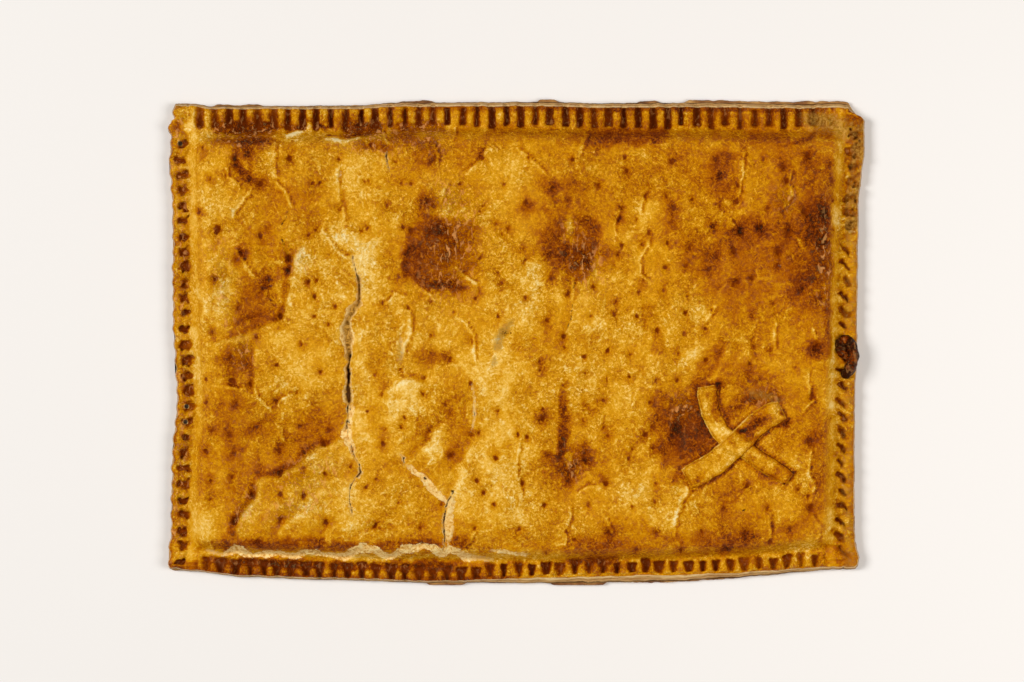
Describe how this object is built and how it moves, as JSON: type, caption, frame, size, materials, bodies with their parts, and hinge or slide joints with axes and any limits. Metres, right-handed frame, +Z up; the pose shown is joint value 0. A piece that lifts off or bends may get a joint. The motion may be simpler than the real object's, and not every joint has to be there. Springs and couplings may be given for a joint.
{
  "type": "filled rectangular pie",
  "caption": "Flat rectangular filled pie with a tine-crimped rim, a docked golden lid and two crossed dough strips on top.",
  "frame": {"origin": "middle of the bounding box, on the surface that the pie rests on", "axes": "+X along the long side, +Y along the short side towards the side that is at the top of the picture, +Z up"},
  "size_m": [0.3493, 0.2436, 0.0229],
  "materials": {
    "golden_crust": "egg-washed baked dough, golden with browned patches",
    "base_crust": "dry baked dough",
    "strip_crust": "egg-washed baked dough"
  },
  "bodies": {
    "root": {"lid_crust": "golden_crust", "base_crust": "base_crust", "cross_strip_under": "strip_crust", "cross_strip_over": "strip_crust"}
  },
  "joints": []
}
